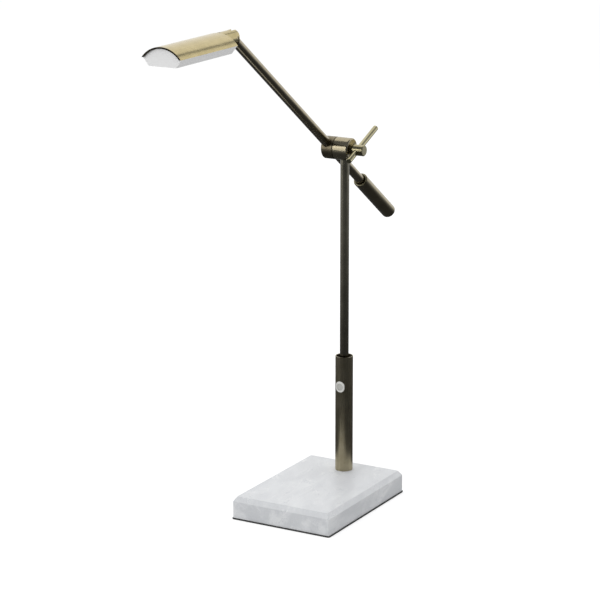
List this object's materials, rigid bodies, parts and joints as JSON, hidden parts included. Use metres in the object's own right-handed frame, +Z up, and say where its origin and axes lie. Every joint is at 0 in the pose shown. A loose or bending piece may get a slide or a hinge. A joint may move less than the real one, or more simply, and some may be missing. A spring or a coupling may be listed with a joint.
{
  "type": "desk lamp",
  "caption": "Balance-arm desk lamp with a marble slab, a slim post, a barrel hub with a clamp knob, a counterweighted arm and a long arched LED head.",
  "frame": {"origin": "centre of the underside of the slab's pad", "axes": "+Z up; the head reaches towards -Y, the clamp knob points to +X"},
  "size_m": [0.1568, 0.6152, 0.7063],
  "materials": {
    "antique_brass": "brushed, darkened with age",
    "shade_brass": "brushed lengthwise, satin",
    "steel": "plain",
    "iron": "plain",
    "marble": "honed white marble with faint grey veins",
    "pad_rubber": "matt",
    "white_plastic": "satin",
    "diffuser_plastic": "opal",
    "black_plastic": "matt",
    "board": "satin",
    "lead_cover": "satin",
    "carrier": "as extruded",
    "led": "satin"
  },
  "bodies": {
    "base": {"base_pad": "pad_rubber", "marble_base": "marble", "cord_grommet": "pad_rubber", "base_washer": "steel", "base_nut": "steel", "threaded_rod": "steel", "sleeve_foot": "steel", "switch_sleeve": "antique_brass", "post_bush": "black_plastic", "post_tube": "antique_brass", "hub_body": "antique_brass", "hub_washer": "black_plastic", "button_bezel": "white_plastic", "dimmer_holder": "black_plastic", "dimmer_board": "board", "dimmer_switch": "black_plastic", "board_screws": "steel", "post_lead": "lead_cover"},
    "arm": {"hub_swivel": "antique_brass", "arm_tube": "antique_brass", "arm_grub_screw": "steel", "arm_tongue": "antique_brass", "arm_end_plug": "steel", "counterweight_stud": "steel", "counterweight_core": "iron", "counterweight_sleeve": "antique_brass", "arm_lead": "lead_cover"},
    "knob": {"clamp_screw": "steel", "knob_washer": "antique_brass", "clamp_knob": "antique_brass", "knob_bar": "antique_brass"},
    "knuckle": {"head_knuckle": "antique_brass", "tilt_pin": "antique_brass", "tilt_washers": "black_plastic", "roll_bolt": "steel", "spring_washer": "steel", "roll_washer": "black_plastic"},
    "head": {"head_end_plate": "antique_brass", "head_shell": "shade_brass", "diffuser": "diffuser_plastic", "head_frame": "carrier", "led_board": "carrier", "led_chips": "led", "end_plate_screws": "steel"},
    "button": {"dimmer_button": "white_plastic"}
  },
  "joints": [
    {"name": "arm_tilt", "type": "hinge", "parent": "base", "child": "arm", "pos_m": [-0.0224, 0.0737, 0.5053], "axis": [-1, 0, 0], "range_deg": [-60, 40]},
    {"name": "knob_turn", "type": "hinge", "parent": "base", "child": "knob", "pos_m": [0.0217, 0.0737, 0.5053], "axis": [1, 0, 0], "range_deg": [-10, 180]},
    {"name": "head_tilt", "type": "hinge", "parent": "arm", "child": "knuckle", "pos_m": [-0.0224, -0.1921, 0.69629], "axis": [1, 0, 0], "range_deg": [-60, 60]},
    {"name": "head_roll", "type": "hinge", "parent": "knuckle", "child": "head", "pos_m": [-0.0224, -0.2242, 0.69629], "axis": [0, 1, 0], "range_deg": [-60, 60]},
    {"name": "button_press", "type": "slide", "parent": "base", "child": "button", "axis": [0, 1, 0], "range_m": [0, 0.001], "stiffness_N_per_m": 1500, "springref_m": -0.0005}
  ]
}
